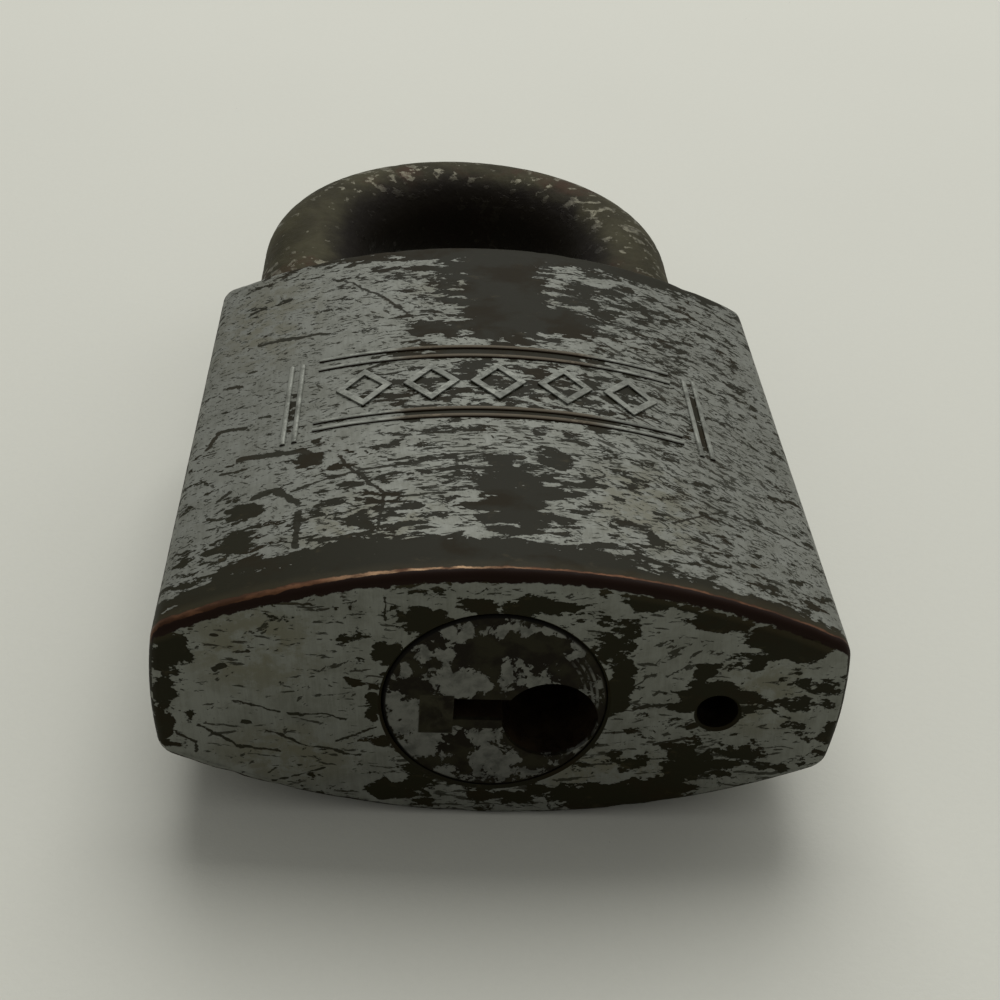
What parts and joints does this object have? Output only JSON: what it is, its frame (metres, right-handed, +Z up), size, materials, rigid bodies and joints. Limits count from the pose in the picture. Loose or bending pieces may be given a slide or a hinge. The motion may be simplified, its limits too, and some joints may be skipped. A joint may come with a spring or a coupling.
{
  "type": "padlock",
  "caption": "Worn solid-bodied padlock with a thick round shackle, crowned faces, a raised line frame and a keyway with a round end.",
  "frame": {"origin": "middle of the lock's bounding box in X and Y, on the surface it lies on", "axes": "+Y from the keyhole end towards the shackle, +Z up through the front face, +X to the right seen from the keyhole end"},
  "size_m": [0.0444, 0.079, 0.0206],
  "materials": {
    "case_plating": "worn dull plating over dark tarnished cast alloy, bare bronze on the edges",
    "shackle_steel": "brown-grey rusted steel with pale specks",
    "plug_brass": "tarnished turned brass",
    "inner_brass": "dull turned brass",
    "inner_steel": "dull turned steel"
  },
  "bodies": {
    "case": {"case": "case_plating", "cross_bore_plug": "inner_brass", "plug_retaining_pin": "inner_steel", "shackle_retaining_pin": "inner_steel", "chamber_plugs": "inner_brass", "pin_spring_1": "inner_steel", "pin_spring_2": "inner_steel", "pin_spring_3": "inner_steel", "pin_spring_4": "inner_steel", "pin_spring_5": "inner_steel"},
    "shackle": {"shackle": "shackle_steel"},
    "plug": {"plug": "plug_brass", "tail_cam": "inner_brass", "cam_rivets": "inner_steel"},
    "toe_bolt": {"toe_bolt": "inner_steel"},
    "heel_bolt": {"heel_bolt": "inner_steel"},
    "key_pin_1": {"key_pin_1": "inner_brass"},
    "driver_pin_1": {"driver_pin_1": "inner_steel"},
    "key_pin_2": {"key_pin_2": "inner_brass"},
    "driver_pin_2": {"driver_pin_2": "inner_steel"},
    "key_pin_3": {"key_pin_3": "inner_brass"},
    "driver_pin_3": {"driver_pin_3": "inner_steel"},
    "key_pin_4": {"key_pin_4": "inner_brass"},
    "driver_pin_4": {"driver_pin_4": "inner_steel"},
    "key_pin_5": {"key_pin_5": "inner_brass"},
    "driver_pin_5": {"driver_pin_5": "inner_steel"}
  },
  "joints": [
    {"name": "shackle_lift", "type": "slide", "parent": "case", "child": "shackle", "axis": [0, 1, 0], "range_m": [0, 0.0123]},
    {"name": "plug_turn", "type": "hinge", "parent": "case", "child": "plug", "pos_m": [-0.0004, -0.03948, 0.00993], "axis": [0, 1, 0], "range_deg": [0, 90]},
    {"name": "toe_bolt_slide", "type": "slide", "parent": "case", "child": "toe_bolt", "axis": [-1, 0, 0], "range_m": [0, 0.00186]},
    {"name": "heel_bolt_slide", "type": "slide", "parent": "case", "child": "heel_bolt", "axis": [1, 0, 0], "range_m": [0, 0.00186]},
    {"name": "key_pin_1_slide", "type": "slide", "parent": "plug", "child": "key_pin_1", "axis": [1, 0, 0], "range_m": [0, 0.0016]},
    {"name": "driver_pin_1_slide", "type": "slide", "parent": "case", "child": "driver_pin_1", "axis": [-1, 0, 0], "range_m": [0, 0.002], "stiffness_N_per_m": 50, "springref_m": -0.004, "deforming": ["pin_spring_1"]},
    {"name": "key_pin_2_slide", "type": "slide", "parent": "plug", "child": "key_pin_2", "axis": [1, 0, 0], "range_m": [0, 0.0009]},
    {"name": "driver_pin_2_slide", "type": "slide", "parent": "case", "child": "driver_pin_2", "axis": [-1, 0, 0], "range_m": [0, 0.002], "stiffness_N_per_m": 50, "springref_m": -0.004, "deforming": ["pin_spring_2"]},
    {"name": "key_pin_3_slide", "type": "slide", "parent": "plug", "child": "key_pin_3", "axis": [1, 0, 0], "range_m": [0, 0.0013]},
    {"name": "driver_pin_3_slide", "type": "slide", "parent": "case", "child": "driver_pin_3", "axis": [-1, 0, 0], "range_m": [0, 0.002], "stiffness_N_per_m": 50, "springref_m": -0.004, "deforming": ["pin_spring_3"]},
    {"name": "key_pin_4_slide", "type": "slide", "parent": "plug", "child": "key_pin_4", "axis": [1, 0, 0], "range_m": [0, 0.0006]},
    {"name": "driver_pin_4_slide", "type": "slide", "parent": "case", "child": "driver_pin_4", "axis": [-1, 0, 0], "range_m": [0, 0.002], "stiffness_N_per_m": 50, "springref_m": -0.004, "deforming": ["pin_spring_4"]},
    {"name": "key_pin_5_slide", "type": "slide", "parent": "plug", "child": "key_pin_5", "axis": [1, 0, 0], "range_m": [0, 0.0011]},
    {"name": "driver_pin_5_slide", "type": "slide", "parent": "case", "child": "driver_pin_5", "axis": [-1, 0, 0], "range_m": [0, 0.002], "stiffness_N_per_m": 50, "springref_m": -0.004, "deforming": ["pin_spring_5"]}
  ],
  "couplings": [
    {"joint": "toe_bolt_slide", "follows": "plug_turn", "m_per_rad": 0.0011777},
    {"joint": "heel_bolt_slide", "follows": "plug_turn", "m_per_rad": 0.0011777}
  ]
}
